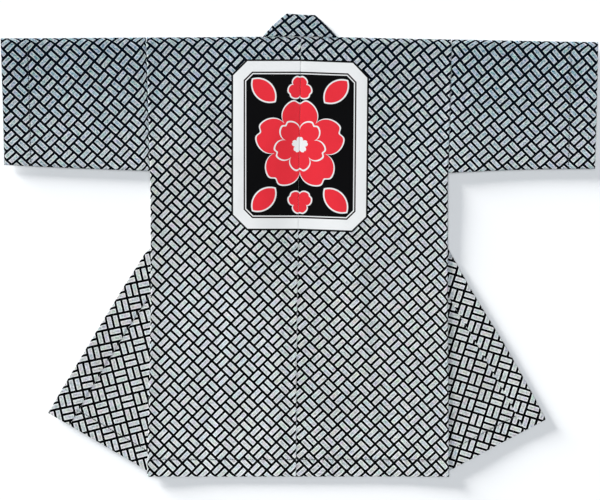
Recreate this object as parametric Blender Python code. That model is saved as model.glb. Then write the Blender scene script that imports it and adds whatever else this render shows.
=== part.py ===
"""Cotton happi coat laid flat on its fronts, back up, with both fronts opened out from the neck.

Each front is turned back along a crease that runs from the collar's corner to the hem near the
side, so its collar edge and hem corner show outside the body's sides.
Plan: X across the back, +Y towards the collar, Z up from the surface. Sizes are in millimetres
and are turned to metres when a mesh is made. A point of the cloth is written as (out, y): its
distance from the centre line, and its height on the plan.
"""

import math

import bmesh
import bpy
import numpy as np

MM = 0.001

# Driving sizes of the coat as it is sewn
HEM_Y = -475.0
SHOULDER_Y = 427.5
SIDE_OUT = 307.0
CUFF_OUT = 605.5
ARMHOLE_DEPTH = 273.5
CUFF_DEPTH = 259.0
NECK_HALF = 76.6
COLLAR_WIDTH = 50.0

# The cloth, and how it lies
CLOTH = 1.0
BAND = 1.6
GAP = 0.3
FOLD_BULGE = 0.9
NECK_EASE = 1.0
CREASE_TOP_Y = 466.0
OPENED_DEG = 30.9
SIGN = {"left": -1.0, "right": 1.0}

# How fast an upper layer comes down beside what it lies on
CREASE_MARGIN, CREASE_DROP = 10.0, 50.0
COVER_MARGIN, COVER_DROP = 52.0, 60.0

# Numbers of panels that each stretch is divided into
NECK_ROWS = 4
ARMHOLE_ROWS = 3
SIDE_ROWS = 17
SIDE_COLUMNS = 7
FLAP_COLUMNS = 5
FOLD_STEPS = 4
SLEEVE_STATIONS = 8
SLEEVE_COLUMNS = 7
BAND_ROWS = 4
BAND_STATIONS = 18
CORNER_STATIONS = 3
NAPE_STATIONS = 3

# Distances from the crease, towards the centre, of the back's inner columns
INNER_COLUMNS = (CREASE_MARGIN, 35.0, CREASE_MARGIN + CREASE_DROP, 150.0)

# How the sewn shape settled: at each height, how far the left and right edges moved outwards and
# how far the centre seam moved to the right
SETTLED = {
    "height": (HEM_Y, -290.0, -110.0, 140.0, 160.0, 290.0, SHOULDER_Y),
    "left": (7.0, 3.0, -0.5, 0.5, 2.5, 6.0, 8.0),
    "right": (-1.5, -1.5, -2.0, -1.5, 0.5, 5.0, 8.0),
    "centre": (-5.0, -5.0, -4.0, -1.0, -1.0, 1.0, 2.0),
}
SHOULDER_DROP = {"left": 4.0, "right": 12.0}

# How far the opened front's hem corner was pulled, outwards and up
CORNER_PULL = {"left": (2.2, -2.8), "right": (-4.6, -14.8)}
CORNER_REACH = 203.0

CLOTH_GREY = (0.50, 0.56, 0.58, 1.0)
ROUGHNESS = 0.9
SHARP_DEG = 35.0

# Where the pieces meet
HALF_OPENED = math.radians(OPENED_DEG / 2)
CREASE_LEAN = math.tan(HALF_OPENED)
FREE_OUT = NECK_HALF - COLLAR_WIDTH
UNDERARM_Y = SHOULDER_Y - ARMHOLE_DEPTH
TO_CENTRE = np.array([-math.cos(HALF_OPENED), -math.sin(HALF_OPENED)])
LEVEL = BAND + GAP


def fold_depth(thickness):
    """Distance from a fold's outermost face to where its layers are flat."""
    return FOLD_BULGE + thickness / 2


# Height of the neck's straight edge, and of the collar's free edge above it
NECK_Y = SHOULDER_Y - fold_depth(CLOTH)
COLLAR_TOP_Y = NECK_Y + GAP / 2 + NECK_EASE + COLLAR_WIDTH

# The origin lies midway between the hem and the collar's top
ORIGIN = np.array([0.0, (COLLAR_TOP_Y + HEM_Y) / 2, 0.0])


def crease_out(y):
    """Where the crease crosses the height y."""
    return FREE_OUT + (CREASE_TOP_Y - y) * CREASE_LEAN


def crease_y(out):
    """The height at which the crease is out from the centre line."""
    return CREASE_TOP_Y - (out - FREE_OUT) / CREASE_LEAN


def turned_back(out, y):
    """Where a point of the front lands once it is turned back over the crease."""
    start = np.array([FREE_OUT, CREASE_TOP_Y])
    point = np.array([out, y])
    return point - 2 * ((point - start) @ TO_CENTRE) * TO_CENTRE


# Convex outlines of what lies under the back
CREASE_TOP = (FREE_OUT, CREASE_TOP_Y)
CREASE_HEM = (crease_out(HEM_Y), HEM_Y)
CREASE_SEAM = (NECK_HALF, crease_y(NECK_HALF))
OPENED = [CREASE_TOP, CREASE_HEM, turned_back(FREE_OUT, HEM_Y)]
OPENED_BAND = [CREASE_TOP, CREASE_SEAM, turned_back(NECK_HALF, HEM_Y), turned_back(FREE_OUT, HEM_Y)]
FRONT = [(SIDE_OUT, SHOULDER_Y), (NECK_HALF, SHOULDER_Y), CREASE_SEAM, CREASE_HEM, (SIDE_OUT, HEM_Y)]
COLLAR_CORNER = [(FREE_OUT, COLLAR_TOP_Y), CREASE_SEAM, (NECK_HALF, SHOULDER_Y)]


def distance_outside(outline, point):
    """How far a point lies outside a convex outline; 0 or less inside it."""
    corners = np.array(outline)
    edges = np.roll(corners, -1, axis=0) - corners
    outward = np.stack([edges[:, 1], -edges[:, 0]], axis=1)
    area = (corners[:, 0] * edges[:, 1] - corners[:, 1] * edges[:, 0]).sum()
    outward *= np.sign(area) / np.linalg.norm(edges, axis=1)[:, None]
    return float(((point - corners) * outward).sum(1).max())


def cover(outline, point, margin, drop):
    """Share of a layer's height that the cloth above keeps: 1 over it, easing to 0 beside it."""
    share = (distance_outside(outline, point) - margin) / drop
    share = min(1.0, max(0.0, share))
    return 1.0 - share * share * (3.0 - 2.0 * share)


def front_underside(out, y):
    """Height under the second layer, which lies on the opened part and its collar band."""
    point = np.array([out, y])
    over_band = LEVEL * cover(OPENED_BAND, point, COVER_MARGIN, COVER_DROP)
    over_flap = (CLOTH + GAP) * cover(OPENED, point, COVER_MARGIN, COVER_DROP)
    return max(over_band, over_flap)


def back_underside(out, y):
    """Height under the back, which lies on the front and on the collar's turned corner."""
    point = np.array([out, y])
    second = front_underside(out, y)
    over_front = (second + CLOTH + GAP) * cover(FRONT, point, CREASE_MARGIN, CREASE_DROP)
    over_corner = (second + LEVEL) * cover(COLLAR_CORNER, point, COVER_MARGIN, COVER_DROP)
    return max(over_front, over_corner)


def as_laid(side, out, y):
    """X and Y of a point of the sewn shape once the coat has been laid down by hand."""
    reach = min(1.0, out / SIDE_OUT)
    spread = np.interp(y, SETTLED["height"], SETTLED[side]) * reach
    centre = np.interp(y, SETTLED["height"], SETTLED["centre"]) * (1.0 - reach)
    above_hem = min(1.0, (y - HEM_Y) / (UNDERARM_Y - HEM_Y))
    drop = SHOULDER_DROP[side] * out / CUFF_OUT * above_hem
    beyond = max(0.0, (out - SIDE_OUT) / CORNER_REACH) if y < 0.0 else 0.0
    pull = CORNER_PULL[side]
    return SIGN[side] * (out + spread + pull[0] * beyond) + centre, y - drop + pull[1] * beyond


class Sheet:
    """A wall of cloth, kept as the points of its middle with half its thickness at each."""

    def __init__(self):
        self.middle = []
        self.half = []
        self.faces = []

    def add(self, side, out, y, z, half):
        """Adds a point; half is half the wall as (out, y, z). Returns the point's number."""
        x, laid_y = as_laid(side, out, y)
        self.middle.append((x, laid_y, z))
        self.half.append((SIGN[side] * half[0], half[1], half[2]))
        return len(self.middle) - 1

    def height(self, number):
        """Height of a point's middle."""
        return self.middle[number][2]

    def fill(self, grid):
        """Covers a grid of point numbers, rows of equal length, with pairs of triangles."""
        for upper, lower in zip(grid, grid[1:]):
            for i in range(len(upper) - 1):
                self.faces.append((upper[i], upper[i + 1], lower[i + 1]))
                self.faces.append((upper[i], lower[i + 1], lower[i]))

    def rim(self):
        """The edges that only one triangle uses."""
        count = {}
        for face in self.faces:
            for a, b in zip(face, face[1:] + face[:1]):
                key = (min(a, b), max(a, b))
                count[key] = count.get(key, 0) + 1
        return [edge for edge, uses in count.items() if uses == 1]

    def solid(self, name):
        """Makes the closed solid: both faces of the wall, and the strip round its edge."""
        middle, half = np.array(self.middle) - ORIGIN, np.array(self.half)
        points = np.concatenate([middle + half, middle - half]) * MM
        far = len(self.middle)
        faces = list(self.faces)
        faces += [(a + far, b + far, c + far) for a, b, c in self.faces]
        for a, b in self.rim():
            faces += [(a, b, b + far), (a, b + far, a + far)]
        mesh = bpy.data.meshes.new(name)
        mesh.from_pydata(points.tolist(), [], faces)
        shape = bmesh.new()
        shape.from_mesh(mesh)
        bmesh.ops.recalc_face_normals(shape, faces=shape.faces)
        shape.to_mesh(mesh)
        shape.free()
        mesh.materials.append(cotton(name))
        mesh.shade_smooth()
        mesh.set_sharp_from_angle(angle=math.radians(SHARP_DEG))
        made = bpy.data.objects.new(name, mesh)
        bpy.context.scene.collection.objects.link(made)


def cotton(name):
    """Plain cotton, in the mean colour of the print."""
    material = bpy.data.materials.new(name + "_cotton")
    material.use_nodes = True
    surface = material.node_tree.nodes["Principled BSDF"]
    surface.inputs["Base Color"].default_value = CLOTH_GREY
    surface.inputs["Roughness"].default_value = ROUGHNESS
    surface.inputs["Metallic"].default_value = 0.0
    return material


def flat(thickness):
    """Half a wall that lies flat; below zero, with its face down."""
    return (0.0, 0.0, thickness / 2)


def fold_row(sheet, side, edge, outward, upper, lower, thickness, slant=0.0):
    """Points of one section round a fold, from its upper layer to its lower.

    edge is the fold's outermost plan point, outward the unit direction that it faces, and upper
    and lower the middle heights of the two layers. A thickness below zero has the cloth's face
    inside the fold. slant is how far the section moves along the fold as it goes round.
    """
    outward = np.array(outward)
    along = np.array([outward[1], -outward[0]])
    row = []
    for step in range(1, FOLD_STEPS):
        angle = math.pi / 2 - math.pi * step / FOLD_STEPS
        back_by = abs(thickness) / 2 + FOLD_BULGE * (1.0 - math.cos(angle))
        shift = slant * fold_depth(abs(thickness)) * math.sin(angle)
        plan = np.array(edge) - back_by * outward + shift * along
        height = lower + (upper - lower) / 2 * (1.0 + math.sin(angle))
        tilt = np.array([*(outward * math.cos(angle)), math.sin(angle)])
        row.append(sheet.add(side, plan[0], plan[1], height, tilt * thickness / 2))
    return row


def body_heights():
    """Heights of the rows: neck to crease, crease to underarm, underarm to hem."""
    opening_y = crease_y(NECK_HALF + 2 * fold_depth(CLOTH))
    return [
        *np.linspace(NECK_Y, opening_y, NECK_ROWS, endpoint=False),
        *np.linspace(opening_y, UNDERARM_Y, ARMHOLE_ROWS, endpoint=False),
        *np.linspace(UNDERARM_Y, HEM_Y, SIDE_ROWS + 1),
    ]


def front_columns(y):
    """Distances out of the columns that back and front share, from the side seam inwards.

    At the neck the innermost one clears the collar's turned corner.
    """
    beside_crease = crease_out(y) + fold_depth(CLOTH) / math.cos(HALF_OPENED)
    ease = NECK_EASE * max(0.0, 1.0 - (NECK_Y - y) / COLLAR_WIDTH)
    inner = max(NECK_HALF + GAP / 2 + ease, beside_crease)
    return list(np.linspace(SIDE_OUT - fold_depth(CLOTH), inner, SIDE_COLUMNS + 1))


def back_columns(y):
    """The shared columns, and the back's own from the crease to the centre seam."""
    shared = front_columns(y)
    room = shared[-1] - GAP / 2
    share = room / (len(INNER_COLUMNS) + 1)
    inner = [shared[-1] - min(step, share * k) for k, step in enumerate(INNER_COLUMNS, 1)]
    return shared + inner + [GAP / 2]


def body(side):
    """One length of cloth from the back hem over the shoulder to the front hem."""
    sheet = Sheet()
    heights = body_heights()
    back, front = [], []
    for y in heights:
        points = [(out, back_underside(out, y) + CLOTH / 2) for out in back_columns(y)]
        back.append([sheet.add(side, out, y, z, flat(CLOTH)) for out, z in points])
        points = [(out, front_underside(out, y) + CLOTH / 2) for out in front_columns(y)]
        front.append([sheet.add(side, out, y, z, flat(-CLOTH)) for out, z in points])
    sheet.fill(back)
    sheet.fill(front)
    shoulder_fold(sheet, side, back[0], front[0])
    side_seam(sheet, side, heights, back, front)
    opened_part(sheet, side, heights, front)
    sheet.solid("body_" + side)


def shoulder_fold(sheet, side, back, front):
    """The cloth's turn over the shoulder, from the neck to the armhole."""
    columns = []
    for out, above, below in zip(front_columns(NECK_Y), back, front):
        ends = (sheet.height(above), sheet.height(below))
        turn = fold_row(sheet, side, (out, SHOULDER_Y), (0.0, 1.0), *ends, CLOTH)
        columns.append([above, *turn, below])
    sheet.fill(columns)


def side_seam(sheet, side, heights, back, front):
    """Back and front joined from the underarm down, and each one's armhole edge above it."""
    top = NECK_ROWS + ARMHOLE_ROWS
    turns = []
    for y, above, below in zip(heights[top:], back[top:], front[top:]):
        ends = (sheet.height(above[0]), sheet.height(below[0]))
        turn = fold_row(sheet, side, (SIDE_OUT, y), (1.0, 0.0), *ends, CLOTH)
        turns.append([above[0], *turn, below[0]])
    sheet.fill(turns)
    half = FOLD_STEPS // 2 + 1
    for layer, face, seam in ((back, CLOTH, turns[0][:half]), (front, -CLOTH, turns[0][::-1][:half])):
        edge = []
        for y, row in zip(heights[:top], layer):
            steps = np.linspace(SIDE_OUT - fold_depth(CLOTH), SIDE_OUT, half)[1:]
            z = sheet.height(row[0])
            edge.append([row[0]] + [sheet.add(side, out, y, z, flat(face)) for out in steps])
        sheet.fill(edge + [seam])


def opened_part(sheet, side, heights, front):
    """The front's inner part, turned back under it along the crease and lying on the surface."""
    rows = []
    for y, layer in zip(heights[NECK_ROWS:], front[NECK_ROWS:]):
        edge = (crease_out(y), y)
        upper = sheet.height(layer[-1])
        turn = fold_row(sheet, side, edge, TO_CENTRE, upper, CLOTH / 2, -CLOTH, -CREASE_LEAN)
        row = [layer[-1], *turn]
        start = edge[0] - fold_depth(CLOTH) / math.cos(HALF_OPENED)
        for out in np.linspace(start, NECK_HALF + GAP / 2, FLAP_COLUMNS + 1):
            row.append(sheet.add(side, *turned_back(out, y), CLOTH / 2, flat(CLOTH)))
        rows.append(row)
    sheet.fill(rows)


def sleeve(side):
    """A flattened tube, folded along the shoulder line and closed along its lower edge."""
    sheet = Sheet()
    depth = fold_depth(CLOTH)
    rings = []
    for out in np.linspace(SIDE_OUT + GAP, CUFF_OUT, SLEEVE_STATIONS + 1):
        along = (out - SIDE_OUT) / (CUFF_OUT - SIDE_OUT)
        bottom = UNDERARM_Y + (ARMHOLE_DEPTH - CUFF_DEPTH) * along
        heights = np.linspace(SHOULDER_Y - depth, bottom + depth, SLEEVE_COLUMNS + 1)
        under = [front_underside(out, y) + CLOTH / 2 for y in heights]
        over = [z + CLOTH + GAP for z in under]
        ring = [sheet.add(side, out, y, z, flat(CLOTH)) for y, z in zip(heights, over)]
        ring += fold_row(sheet, side, (out, bottom), (0.0, -1.0), over[-1], under[-1], CLOTH)
        ring += [sheet.add(side, out, y, z, flat(-CLOTH)) for y, z in zip(heights[::-1], under[::-1])]
        ring += fold_row(sheet, side, (out, SHOULDER_Y), (0.0, 1.0), over[0], under[0], CLOTH)[::-1]
        rings.append(ring + ring[:1])
    sheet.fill(rings)
    sheet.solid("sleeve_" + side)


def collar():
    """One doubled band: along both opened fronts, turned at their creases, and round the neck."""
    sheet = Sheet()
    lines = []
    for inward in np.linspace(0.0, COLLAR_WIDTH - GAP / 2, BAND_ROWS + 1):
        left = band_line(sheet, "left", inward)
        right = band_line(sheet, "right", inward)
        lines.append(left + right[::-1][1:])
    sheet.fill(lines)
    sheet.solid("collar")


def band_line(sheet, side, inward):
    """One lengthwise line of the band, from its hem end to the middle of the neck.

    inward is the line's distance from the band's free edge.
    """
    out = FREE_OUT + inward
    depth = fold_depth(BAND)
    first, second, third = (BAND / 2 + LEVEL * layer for layer in range(3))
    fold_y = crease_y(out)
    corner_y = COLLAR_TOP_Y - inward
    beside_crease = depth / math.sin(HALF_OPENED)
    beside_corner = depth * math.sqrt(2.0)
    line = []
    for y in np.linspace(HEM_Y, fold_y - beside_crease, BAND_STATIONS + 1):
        line.append(sheet.add(side, *turned_back(out, y), first, flat(BAND)))
    edge = (out, fold_y)
    line += fold_row(sheet, side, edge, TO_CENTRE, second, first, -BAND, 1.0 / CREASE_LEAN)[::-1]
    for y in np.linspace(fold_y + beside_crease, corner_y - beside_corner, CORNER_STATIONS + 1):
        line.append(sheet.add(side, out, y, second, flat(-BAND)))
    outward = (math.sqrt(0.5), math.sqrt(0.5))
    line += fold_row(sheet, side, (out, corner_y), outward, third, second, BAND, -1.0)[::-1]
    for nape_out in np.linspace(out - beside_corner, 0.0, NAPE_STATIONS + 1):
        line.append(sheet.add(side, nape_out, corner_y, third, flat(BAND)))
    return line


def clear_scene():
    """Starts from an empty scene."""
    for old in list(bpy.data.objects):
        bpy.data.objects.remove(old)


def main():
    """Makes every piece of the coat."""
    clear_scene()
    for side in SIGN:
        body(side)
        sleeve(side)
    collar()


main()
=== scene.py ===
"""Looks of a cotton happi coat laid flat on its fronts, back up, both fronts opened out.

Every cut piece is a thin shell of cloth on the form of its own solid: two lengths that each run
from the back hem over the shoulder to a front hem, two sleeves, and one doubled collar band.
Plan: X across the back, +Y towards the collar, Z up from the table. Sizes are in millimetres and
are turned to metres when a mesh is made. A point of the cloth is written as (out, y): how far it
is from the centre line, and how high on the plan. A value given twice is for left and right.
"""

import logging
import math
from dataclasses import dataclass
from enum import Enum
from typing import TypeVar

import bmesh
import bpy
import numpy as np
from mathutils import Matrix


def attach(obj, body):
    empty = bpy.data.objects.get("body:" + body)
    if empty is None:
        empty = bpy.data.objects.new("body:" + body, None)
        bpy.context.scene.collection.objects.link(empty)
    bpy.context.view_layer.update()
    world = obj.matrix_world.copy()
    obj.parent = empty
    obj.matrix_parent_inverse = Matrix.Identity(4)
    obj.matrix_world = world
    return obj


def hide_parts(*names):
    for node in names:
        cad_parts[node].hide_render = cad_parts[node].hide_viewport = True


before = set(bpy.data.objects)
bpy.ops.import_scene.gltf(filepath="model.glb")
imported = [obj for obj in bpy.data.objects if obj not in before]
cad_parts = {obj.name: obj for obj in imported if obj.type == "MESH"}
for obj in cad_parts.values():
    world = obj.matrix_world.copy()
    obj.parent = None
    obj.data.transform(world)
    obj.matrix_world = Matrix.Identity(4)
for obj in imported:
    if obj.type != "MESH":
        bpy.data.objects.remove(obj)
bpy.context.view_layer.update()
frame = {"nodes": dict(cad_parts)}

MM = 0.001
Array = np.ndarray
Pair = tuple[float, float]
Triple = tuple[float, float, float]
Values = tuple[float, ...]
Own = TypeVar("Own")
log = logging.getLogger("happi_coat")


class Side(Enum):
    """The coat's two sides as they lie in view, with the sign of X on each."""

    LEFT = -1.0
    RIGHT = 1.0

    @property
    def word(self) -> str:
        """The side as the parts' names spell it."""
        return self.name.lower()

    def of(self, pair: tuple[Own, Own]) -> Own:
        """This side's own one of a left and a right value."""
        return pair[self is Side.RIGHT]


class Face(Enum):
    """What a patch of cloth shows, as the place of that finish in the list of materials."""

    PRINT = 0
    BACK_PRINT = 1


def hex_to_linear(code: str) -> Values:
    """Turns an sRGB hex colour into linear red, green and blue, with alpha 1."""
    srgb = [int(code.lstrip("#")[i : i + 2], 16) / 255 for i in (0, 2, 4)]
    linear = [c / 12.92 if c <= 0.04045 else ((c + 0.055) / 1.055) ** 2.4 for c in srgb]
    return (*linear, 1.0)


def smooth(share: Array) -> Array:
    """Eases a share from 0 to 1, and holds it outside that range."""
    share = np.clip(share, 0.0, 1.0)
    return share * share * (3.0 - 2.0 * share)


def ridge(far: Array, size: Pair) -> Array:
    """Height at a distance from the line of a soft ridge, sized by its height and width."""
    return size[0] * np.exp(-((far / size[1]) ** 2))


def uneven_pull(along: Array, waves: Triple) -> Array:
    """How hard a row of stitches draws in along its length, in shares of the full pull."""
    short, long, sway = waves
    return 0.75 + 0.25 * np.sin(along / short + sway * np.sin(along / long))


def graded(start: float, stop: float, step: float, fine: tuple[bool, bool], extra=()) -> Array:
    """Positions from start to stop about one step apart, closer together at chosen ends.

    Args:
        start: first position.
        stop: last position, above or below start.
        step: the usual distance between neighbours.
        fine: whether the start and the stop get the closer positions.
        extra: more positions that have to be among them.

    Returns:
        The positions in order.
    """
    length, way = abs(stop - start), math.copysign(1.0, stop - start)
    near = np.array([0.5, 1.1, 1.9, 3.2])
    low, high = near[-1] * fine[0], length - near[-1] * fine[1]
    count = max(2, int(round((high - low) / step)) + 1)
    found = [(0.0, length), np.linspace(low, high, count), np.abs(np.array(extra) - start)]
    found += [near] * fine[0] + [length - near] * fine[1]
    return start + way * np.unique(np.round(np.concatenate(found), 3))


def over_edge(inside: Array, radius: float) -> Array:
    """Finds how much cloth a rolled edge hides, seen from above.

    Args:
        inside: distances of the points from the edge, on the plan.
        radius: how far the roll reaches in from the edge.

    Returns:
        How much further along the cloth each point is than on the plan.
    """
    near = np.clip((radius - inside) / radius, 0.0, 1.0)
    return radius * (0.3 * near**2 + 0.6 * (np.arcsin(near) - near))


@dataclass(frozen=True)
class CoatSizes:
    """Sizes of the coat as it is sewn, and how it was folded, in millimetres and degrees."""

    hem_y: float = -475.0
    shoulder_y: float = 427.5
    side_out: float = 307.0
    cuff_out: float = 605.5
    underarm_y: float = 154.0
    cuff_depth: float = 259.0
    neck_half: float = 76.6
    collar_width: float = 50.0
    cloth: float = 1.0
    band: float = 1.6
    gap: float = 0.3
    bulge: float = 0.9
    neck_ease: float = 1.0
    crease_top_y: float = 466.0
    opened_deg: float = 30.9
    hem_turning: float = 34.8
    cuff_turning: float = 54.6
    wall: float = 0.7

    @property
    def half_opened(self) -> float:
        """Half the angle that the fronts are opened by, in radians."""
        return math.radians(self.opened_deg / 2)

    @property
    def lean(self) -> float:
        """How far the crease moves out for each millimetre down."""
        return math.tan(self.half_opened)

    @property
    def free_out(self) -> float:
        """Where the collar's free edge would lie with the fronts closed."""
        return self.neck_half - self.collar_width

    @property
    def level(self) -> float:
        """Height from one layer of the band to the next."""
        return self.band + self.gap

    @property
    def neck_y(self) -> float:
        """Height of the neck's straight edge."""
        return self.shoulder_y - self.bulge - self.cloth / 2

    @property
    def collar_top_y(self) -> float:
        """Height of the collar's free edge behind the neck."""
        return self.neck_y + self.gap / 2 + self.neck_ease + self.collar_width

    @property
    def middle_y(self) -> float:
        """Height that lies at the world's origin."""
        return (self.collar_top_y + self.hem_y) / 2

    @property
    def armhole_depth(self) -> float:
        """Depth of the armhole, from the shoulder line."""
        return self.shoulder_y - self.underarm_y

    def fold_depth(self, thickness: float) -> float:
        """Distance from a fold's outermost face to where its layers are flat."""
        return self.bulge + thickness / 2

    def crease_out(self, y: Array) -> Array:
        """Where the crease crosses the height y."""
        return self.free_out + (self.crease_top_y - y) * self.lean

    def crease_y(self, out: float) -> float:
        """The height at which the crease is out from the centre line."""
        return self.crease_top_y - (out - self.free_out) / self.lean

    @property
    def to_centre(self) -> Pair:
        """Unit direction across the crease, towards the centre line."""
        return -math.cos(self.half_opened), -math.sin(self.half_opened)

    def turned_back(self, out: Array, y: Array) -> tuple[Array, Array]:
        """Finds where points of the front land once they are turned back over the crease.

        Args:
            out: distances from the centre line.
            y: heights.

        Returns:
            Their distances and heights after the turn.
        """
        across = self.to_centre
        far = (out - self.free_out) * across[0] + (y - self.crease_top_y) * across[1]
        return out - 2 * far * across[0], y - 2 * far * across[1]


COAT = CoatSizes()


@dataclass(frozen=True)
class Lay:
    """How the sewn shape settled on the table: where it spread, dropped and was pulled."""

    heights: Values = (-475.0, -290.0, -110.0, 140.0, 160.0, 290.0, 427.5)
    spread: tuple[Values, Values] = (
        (7.0, 3.0, -0.5, 0.5, 1.2, 5.0, 9.5),
        (-1.5, -2.5, -4.0, -3.8, -3.0, 1.3, 4.2),
    )
    centre: Values = (-8.6, -8.0, -6.2, -3.0, -2.6, 0.0, 2.0)
    drop: Pair = (4.0, 12.0)
    pull: tuple[Pair, Pair] = ((2.2, -2.8), (-4.6, -14.8))
    pull_reach: float = 203.0
    cuff_stretch: Pair = (0.0, 1.8)
    bow_top: float = -51.0
    bow_tip: float = -358.0
    bow_reach: Pair = (12.0, 217.0)
    bow_way: Pair = (0.816, 0.577)
    bow_stations: Values = (0.0, 0.1, 0.25, 0.45, 0.6, 0.8, 1.0)
    bows: tuple[Values, Values] = (
        (4.0, 5.8, 6.2, 5.4, 4.2, 2.8, 0.0),
        (0.0, 0.0, 1.6, 4.2, 4.2, 3.2, 0.0),
    )
    top_rise: Pair = (1.2, 120.0)
    nape_across: Values = (-26.0, -8.0, 0.0, 30.0)
    nape_sunk: Values = (3.0, 4.8, 5.9, 6.0)
    nape_bulge: Pair = (3.2, 0.0)
    nape_wide: Pair = (4.0, 4.4)
    nape_reach: float = 40.0

    def bow(self, side: Side, out: Array, y: Array) -> Array:
        """How far the opened front's free edge bows out, square to the edge."""
        share = np.clip((self.bow_top - y) / (self.bow_top - self.bow_tip), 0.0, 1.0)
        wide = np.maximum(self.bow_reach[0], share * self.bow_reach[1])
        inside = np.clip((out - COAT.side_out) / wide, 0.0, 1.0) * (y < 0.0)
        return np.interp(share, self.bow_stations, side.of(self.bows)) * inside

    def nape(self, side: Side, out: Array, y: Array) -> tuple[Array, Array]:
        """How far the collar behind the neck bulges out, and how far it sinks."""
        share = np.clip((y - COAT.shoulder_y) / COAT.collar_width, 0.0, 1.0)
        sunk = np.interp(side.value * out, self.nape_across, self.nape_sunk) * share
        wide = side.of(self.nape_bulge) * np.sin(math.pi * share) + side.of(self.nape_wide) * share
        return wide * np.clip(out / self.nape_reach, 0.0, 1.0), sunk

    def place(self, side: Side, out: Array, y: Array) -> tuple[Array, Array]:
        """Puts points of the sewn shape where they lie.

        Args:
            side: the side of the coat.
            out: distances from the centre line.
            y: heights.

        Returns:
            World X and Y in millimetres.
        """
        c, pull = COAT, side.of(self.pull)
        reach = np.minimum(1.0, out / c.side_out)
        spread = np.interp(y, self.heights, side.of(self.spread)) * reach
        centre = np.interp(y, self.heights, self.centre) * (1.0 - reach)
        above = np.minimum(1.0, (y - c.hem_y) / (c.underarm_y - c.hem_y))
        drop = side.of(self.drop) * out / c.cuff_out * above
        past_side = np.maximum(0.0, out - c.side_out)
        beyond = past_side / self.pull_reach * (y < 0.0)
        cuff = side.of(self.cuff_stretch) * past_side / (c.cuff_out - c.side_out) * (y > 0.0)
        bow, (wide, sunk) = self.bow(side, out, y), self.nape(side, out, y)
        rise = self.top_rise[0] * smooth((y - c.shoulder_y) / self.top_rise[1] + 1.0)
        out = out + spread + pull[0] * beyond + self.bow_way[0] * bow + wide + cuff
        y = y - drop + pull[1] * beyond + self.bow_way[1] * bow + rise - sunk
        return side.value * out + centre, y - c.middle_y


LAY = Lay()


@dataclass(frozen=True)
class Layers:
    """Heights of the layers over each other, before the cloth's own lift.

    Each pair says how far beside a lower layer the full height lasts, and over what distance it
    then eases to nothing.
    """

    beside: Pair = (40.0, 90.0)
    beside_crease: Pair = (6.0, 120.0)

    @staticmethod
    def cover(outline: list[Pair], out: Array, y: Array, ease: Pair) -> Array:
        """Finds the share of a layer's height that the cloth above keeps.

        Args:
            outline: corners of the layer's convex outline, in order.
            out: distances of the points from the centre line.
            y: their heights.
            ease: the margin with the full height, and the distance of the drop beyond it.

        Returns:
            Shares from 0 to 1.
        """
        corners = np.array(outline, dtype=float)
        edges = np.roll(corners, -1, axis=0) - corners
        outward = np.stack([edges[:, 1], -edges[:, 0]], axis=1)
        area = (corners[:, 0] * edges[:, 1] - corners[:, 1] * edges[:, 0]).sum()
        outward *= np.sign(area) / np.linalg.norm(edges, axis=1)[:, None]
        far = [(out - a[0]) * n[0] + (y - a[1]) * n[1] for a, n in zip(corners, outward)]
        return 1.0 - smooth((np.max(far, axis=0) - ease[0]) / ease[1])

    def front(self, out: Array, y: Array) -> Array:
        """Height under the second layer, which lies on the opened part and its collar band."""
        c = COAT
        top = (c.free_out, c.crease_top_y)
        hem = (c.crease_out(c.hem_y), c.hem_y)
        seam = (c.neck_half, c.crease_y(c.neck_half))
        free_hem = c.turned_back(c.free_out, c.hem_y)
        band = [top, seam, c.turned_back(c.neck_half, c.hem_y), free_hem]
        over_band = self.cover(band, out, y, self.beside)
        over_flap = self.cover([top, hem, free_hem], out, y, self.beside)
        return np.maximum(c.level * over_band, (c.cloth + c.gap) * over_flap)

    def back(self, out: Array, y: Array) -> Array:
        """Height under the back, which lies on the front and on the collar's turned corner."""
        c, second = COAT, self.front(out, y)
        seam, shoulder = (c.neck_half, c.crease_y(c.neck_half)), (c.neck_half, c.shoulder_y)
        front = [(c.side_out, c.shoulder_y), shoulder, seam]
        front += [(c.crease_out(c.hem_y), c.hem_y), (c.side_out, c.hem_y)]
        corner = [(c.free_out, c.collar_top_y), seam, shoulder]
        over_front = self.cover(front, out, y, self.beside_crease)
        over_corner = self.cover(corner, out, y, self.beside)
        on_front = (second + c.cloth + c.gap) * over_front
        return np.maximum(on_front, (second + c.level) * over_corner)


LAYERS = Layers()


@dataclass(frozen=True)
class Swell:
    """One soft ridge or trough of the lying cloth, along a straight line on the table."""

    start_x: float
    start_y: float
    end_x: float
    end_y: float
    height: float
    width: float

    def at(self, x: Array, y: Array) -> Array:
        """What it adds to the cloth's height at world X and Y, below zero in a trough."""
        wide, high = self.end_x - self.start_x, self.end_y - self.start_y
        x, y = x - self.start_x, y - self.start_y
        share = np.clip((x * wide + y * high) / (wide**2 + high**2), 0.0, 1.0)
        return ridge(np.hypot(x - share * wide, y - share * high), (self.height, self.width))


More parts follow.
